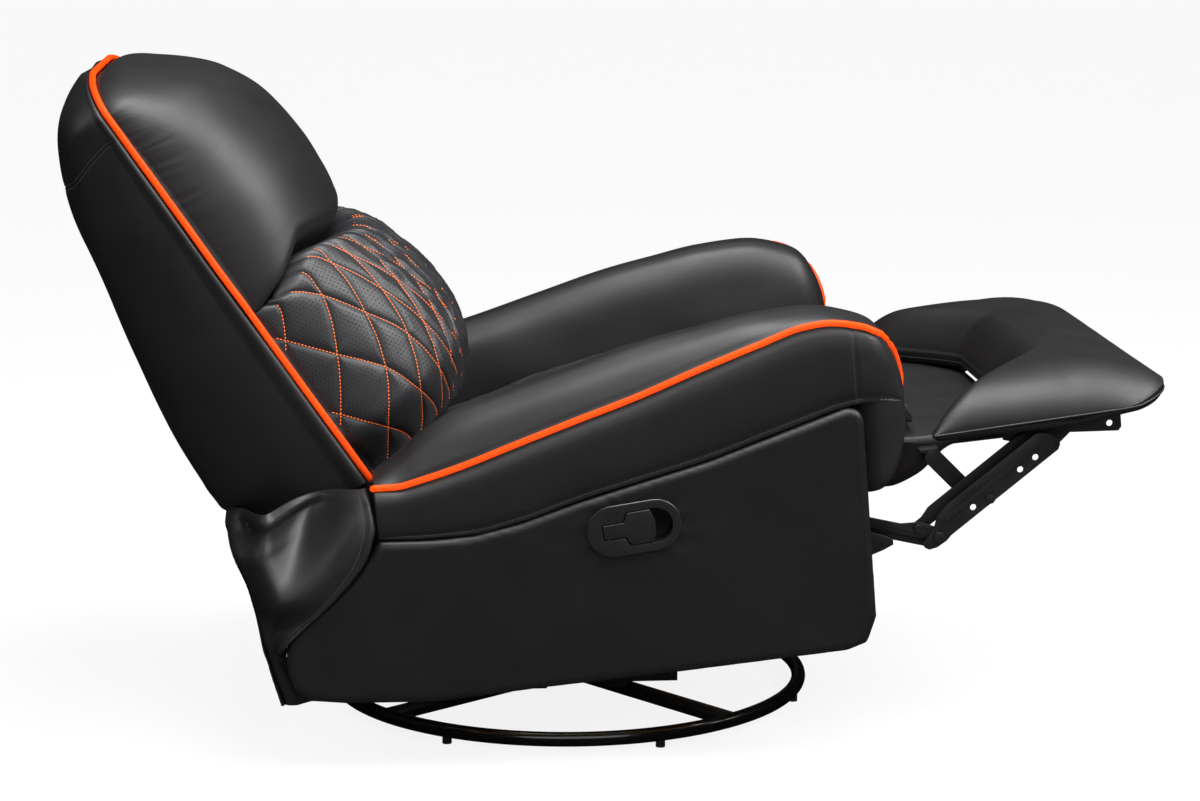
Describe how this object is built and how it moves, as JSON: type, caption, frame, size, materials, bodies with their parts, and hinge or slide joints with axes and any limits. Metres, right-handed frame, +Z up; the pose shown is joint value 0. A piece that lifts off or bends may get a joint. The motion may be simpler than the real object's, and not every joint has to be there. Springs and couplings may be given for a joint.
{
  "type": "gaming recliner",
  "caption": "Manual swivel rocker recliner in black leather with orange piping, round base and lifting footrest with its linkage.",
  "frame": {"origin": "on the floor below the middle of the whole chair with its footrest out", "axes": "+Z up, the chair faces -Y, its release handle is on the -X side"},
  "size_m": [0.8143, 1.4844, 0.9111],
  "materials": {
    "black_leather": "soft grained, satin",
    "quilted_leather": "perforated, quilted with orange thread",
    "orange_piping": "smooth, satin",
    "gloss_tube": "gloss black powder coat",
    "black_steel": "satin black powder coat",
    "zinc_steel": "zinc plated",
    "timber": "raw plywood",
    "black_plastic": "fine matte"
  },
  "bodies": {
    "base": {"base_ring": "gloss_tube", "base_cross": "black_steel", "swivel_lower_plate": "black_steel", "swivel_race": "zinc_steel"},
    "turntable": {"swivel_upper_plate": "black_steel", "swivel_bolt": "zinc_steel", "turntable_frame": "black_steel", "rock_spring_front_left": "zinc_steel", "rock_spring_front_right": "zinc_steel", "rock_spring_rear_left": "zinc_steel", "rock_spring_rear_right": "zinc_steel"},
    "carcass": {"rocker_left": "black_steel", "rocker_right": "black_steel", "chassis_front": "black_steel", "chassis_rear": "black_steel", "side_frame_left": "timber", "side_frame_right": "timber", "mech_plate_left": "black_steel", "mech_plate_right": "black_steel", "front_rail": "timber", "rear_rail": "timber", "seat_springs": "zinc_steel", "seat_cushion": "quilted_leather", "arm_left": "black_leather", "arm_right": "black_leather", "arm_piping_left": "orange_piping", "arm_piping_right": "orange_piping", "side_panel_left": "black_leather", "side_panel_right": "black_leather", "back_lug_left": "black_steel", "back_lug_right": "black_steel", "handle_bezel": "black_plastic", "skirt": "black_leather"},
    "lever": {"release_paddle": "black_plastic", "paddle_pin": "zinc_steel"},
    "backrest": {"back_shell": "black_leather", "back_frame": "timber", "head_pillow": "black_leather", "lumbar_cushion": "quilted_leather", "back_piping": "orange_piping", "back_bracket_left": "black_steel", "back_bracket_right": "black_steel"},
    "lift_links": {"lift_link_left": "black_steel", "lift_link_right": "black_steel", "drive_tube": "black_steel"},
    "lower_links": {"lower_link_left": "black_steel", "lower_link_right": "black_steel"},
    "main_links": {"main_link_left": "black_steel", "main_link_right": "black_steel"},
    "rise_links": {"rise_link_left": "black_steel", "rise_link_right": "black_steel"},
    "footrest": {"footrest_bracket_left": "black_steel", "footrest_bracket_right": "black_steel", "footrest_pad": "black_leather"},
    "bridge": {"bridge_arm_left": "black_steel", "bridge_arm_right": "black_steel", "bridge_pad": "black_leather"}
  },
  "joints": [
    {"name": "swivel", "type": "hinge", "parent": "base", "child": "turntable", "pos_m": [0, 0.04994, 0.0379], "axis": [0, 0, 1], "continuous": true},
    {"name": "rock", "type": "hinge", "parent": "turntable", "child": "carcass", "pos_m": [0, 0.04994, 0.076], "axis": [1, 0, 0], "range_deg": [0, 11], "stiffness_Nm_per_rad": 900, "springref_deg": -20.05, "deforming": ["rock_spring_front_left", "rock_spring_front_right", "rock_spring_rear_left", "rock_spring_rear_right"]},
    {"name": "recline", "type": "hinge", "parent": "carcass", "child": "backrest", "pos_m": [0, 0.24756, 0.29205], "axis": [-1, 0, 0], "range_deg": [-8, 25], "deforming": ["skirt"]},
    {"name": "release_pull", "type": "hinge", "parent": "carcass", "child": "lever", "pos_m": [-0.4058, 0.02521, 0.32054], "axis": [0, -0.1513, -0.9885], "range_deg": [0, 35], "stiffness_Nm_per_rad": 0.4, "springref_deg": -5.73},
    {"name": "footrest_fold", "type": "hinge", "parent": "carcass", "child": "lift_links", "pos_m": [0, -0.26061, 0.32099], "axis": [1, 0, 0], "range_deg": [0, 90]},
    {"name": "lower_link_turn", "type": "hinge", "parent": "carcass", "child": "lower_links", "pos_m": [0, -0.24627, 0.31186], "axis": [1, 0, 0], "range_deg": [0, 90]},
    {"name": "main_link_turn", "type": "hinge", "parent": "lift_links", "child": "main_links", "pos_m": [0, -0.43146, 0.28312], "axis": [1, 0, 0], "range_deg": [-90, 0]},
    {"name": "rise_link_turn", "type": "hinge", "parent": "lift_links", "child": "rise_links", "pos_m": [0, -0.40355, 0.29411], "axis": [1, 0, 0], "range_deg": [-90, 0]},
    {"name": "footrest_turn", "type": "hinge", "parent": "main_links", "child": "footrest", "pos_m": [0, -0.583, 0.40583], "axis": [1, 0, 0], "range_deg": [0, 90]},
    {"name": "bridge_turn", "type": "hinge", "parent": "main_links", "child": "bridge", "pos_m": [0, -0.49987, 0.33529], "axis": [1, 0, 0], "range_deg": [0, 90]}
  ],
  "couplings": [
    {"joint": "lower_link_turn", "follows": "footrest_fold", "ratio": 1},
    {"joint": "main_link_turn", "follows": "footrest_fold", "ratio": -1},
    {"joint": "rise_link_turn", "follows": "footrest_fold", "ratio": -1},
    {"joint": "footrest_turn", "follows": "footrest_fold", "ratio": 1},
    {"joint": "bridge_turn", "follows": "footrest_fold", "ratio": 1}
  ]
}
